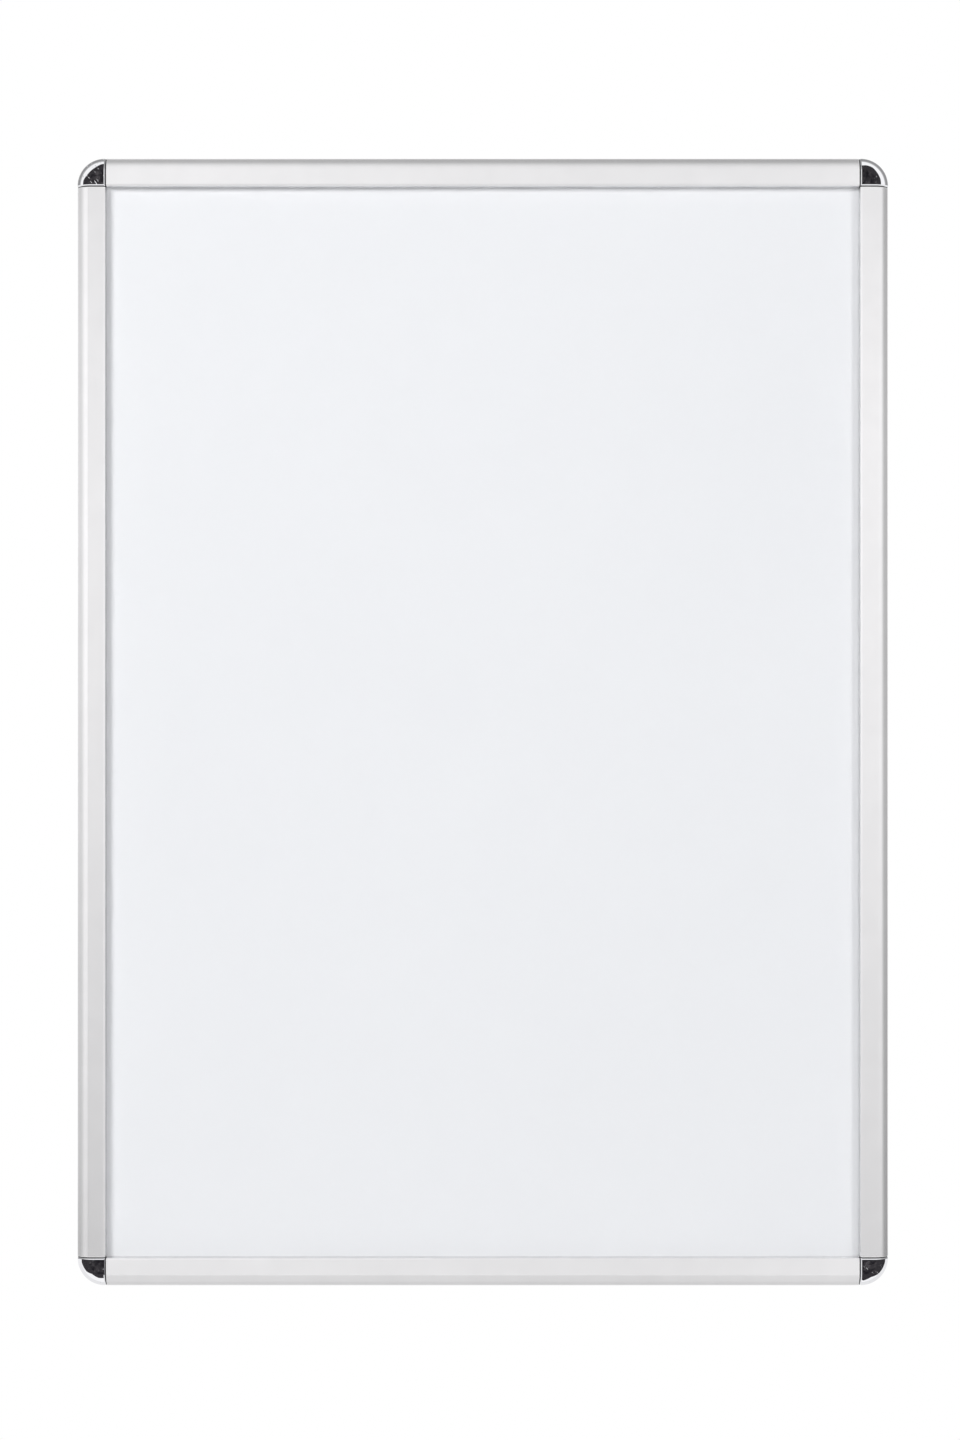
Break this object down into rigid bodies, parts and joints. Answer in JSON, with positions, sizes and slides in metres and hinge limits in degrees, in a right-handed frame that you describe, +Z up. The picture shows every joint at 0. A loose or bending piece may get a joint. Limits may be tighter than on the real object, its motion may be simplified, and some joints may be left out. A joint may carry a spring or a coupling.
{
  "type": "snap poster frame",
  "caption": "Portrait wall-hung snap frame: satin aluminium rails with rounded shoulders flip open on hinges between quarter-round chrome corner caps, over a white panel and a clear cover.",
  "frame": {"origin": "centre of the frame in the wall plane, the plane of the base rails' back faces", "axes": "+Z up along the long sides, +X to the right seen from the front, +Y into the wall; the front faces -Y"},
  "size_m": [0.8922, 0.0154, 1.2402],
  "materials": {
    "satin_aluminium": "satin anodised, fine lengthwise grain",
    "mill_aluminium": "plain mill finish",
    "chrome": "bright chrome plating",
    "spring_steel": "bright rolled spring steel",
    "zinc_steel": "zinc plated",
    "white_plastic": "matt white sheet",
    "clear_plastic": "clear, anti-glare"
  },
  "bodies": {
    "frame": {"base_rail_top": "mill_aluminium", "base_rail_bottom": "mill_aluminium", "base_rail_left": "mill_aluminium", "base_rail_right": "mill_aluminium", "corner_cap_top_left": "chrome", "corner_key_top_left": "zinc_steel", "cap_screw_top_left": "zinc_steel", "set_screw_top_left_1": "zinc_steel", "set_screw_top_left_2": "zinc_steel", "corner_cap_top_right": "chrome", "corner_key_top_right": "zinc_steel", "cap_screw_top_right": "zinc_steel", "set_screw_top_right_1": "zinc_steel", "set_screw_top_right_2": "zinc_steel", "corner_cap_bottom_left": "chrome", "corner_key_bottom_left": "zinc_steel", "cap_screw_bottom_left": "zinc_steel", "set_screw_bottom_left_1": "zinc_steel", "set_screw_bottom_left_2": "zinc_steel", "corner_cap_bottom_right": "chrome", "corner_key_bottom_right": "zinc_steel", "cap_screw_bottom_right": "zinc_steel", "set_screw_bottom_right_1": "zinc_steel", "set_screw_bottom_right_2": "zinc_steel", "back_panel": "white_plastic", "cover_sheet": "clear_plastic"},
    "flap_top": {"flap_rail_top": "satin_aluminium"},
    "springs_top": {"spring_top_1": "spring_steel", "spring_top_2": "spring_steel", "spring_top_3": "spring_steel"},
    "flap_bottom": {"flap_rail_bottom": "satin_aluminium"},
    "springs_bottom": {"spring_bottom_1": "spring_steel", "spring_bottom_2": "spring_steel", "spring_bottom_3": "spring_steel"},
    "flap_left": {"flap_rail_left": "satin_aluminium"},
    "springs_left": {"spring_left_1": "spring_steel", "spring_left_2": "spring_steel", "spring_left_3": "spring_steel", "spring_left_4": "spring_steel"},
    "flap_right": {"flap_rail_right": "satin_aluminium"},
    "springs_right": {"spring_right_1": "spring_steel", "spring_right_2": "spring_steel", "spring_right_3": "spring_steel", "spring_right_4": "spring_steel"}
  },
  "joints": [
    {"name": "flap_top_hinge", "type": "hinge", "parent": "frame", "child": "flap_top", "pos_m": [0, -0.0056, 0.617], "axis": [-1, 0, 0], "range_deg": [0, 90], "deforming": ["spring_top_1", "spring_top_2", "spring_top_3"]},
    {"name": "springs_top_swing", "type": "hinge", "parent": "frame", "child": "springs_top", "pos_m": [0, -0.0098, 0.6059], "axis": [-1, 0, 0], "range_deg": [-47.2, 0]},
    {"name": "flap_bottom_hinge", "type": "hinge", "parent": "frame", "child": "flap_bottom", "pos_m": [0, -0.0056, -0.617], "axis": [1, 0, 0], "range_deg": [0, 90], "deforming": ["spring_bottom_1", "spring_bottom_2", "spring_bottom_3"]},
    {"name": "springs_bottom_swing", "type": "hinge", "parent": "frame", "child": "springs_bottom", "pos_m": [0, -0.0098, -0.6059], "axis": [1, 0, 0], "range_deg": [-47.2, 0]},
    {"name": "flap_left_hinge", "type": "hinge", "parent": "frame", "child": "flap_left", "pos_m": [-0.443, -0.0056, 0], "axis": [0, 0, -1], "range_deg": [0, 90], "deforming": ["spring_left_1", "spring_left_2", "spring_left_3", "spring_left_4"]},
    {"name": "springs_left_swing", "type": "hinge", "parent": "frame", "child": "springs_left", "pos_m": [-0.4319, -0.0098, 0], "axis": [0, 0, -1], "range_deg": [-47.2, 0]},
    {"name": "flap_right_hinge", "type": "hinge", "parent": "frame", "child": "flap_right", "pos_m": [0.443, -0.0056, 0], "axis": [0, 0, 1], "range_deg": [0, 90], "deforming": ["spring_right_1", "spring_right_2", "spring_right_3", "spring_right_4"]},
    {"name": "springs_right_swing", "type": "hinge", "parent": "frame", "child": "springs_right", "pos_m": [0.4319, -0.0098, 0], "axis": [0, 0, 1], "range_deg": [-47.2, 0]}
  ],
  "couplings": [
    {"joint": "springs_top_swing", "follows": "flap_top_hinge", "ratio": -0.52402},
    {"joint": "springs_bottom_swing", "follows": "flap_bottom_hinge", "ratio": -0.52402},
    {"joint": "springs_left_swing", "follows": "flap_left_hinge", "ratio": -0.52402},
    {"joint": "springs_right_swing", "follows": "flap_right_hinge", "ratio": -0.52402}
  ]
}
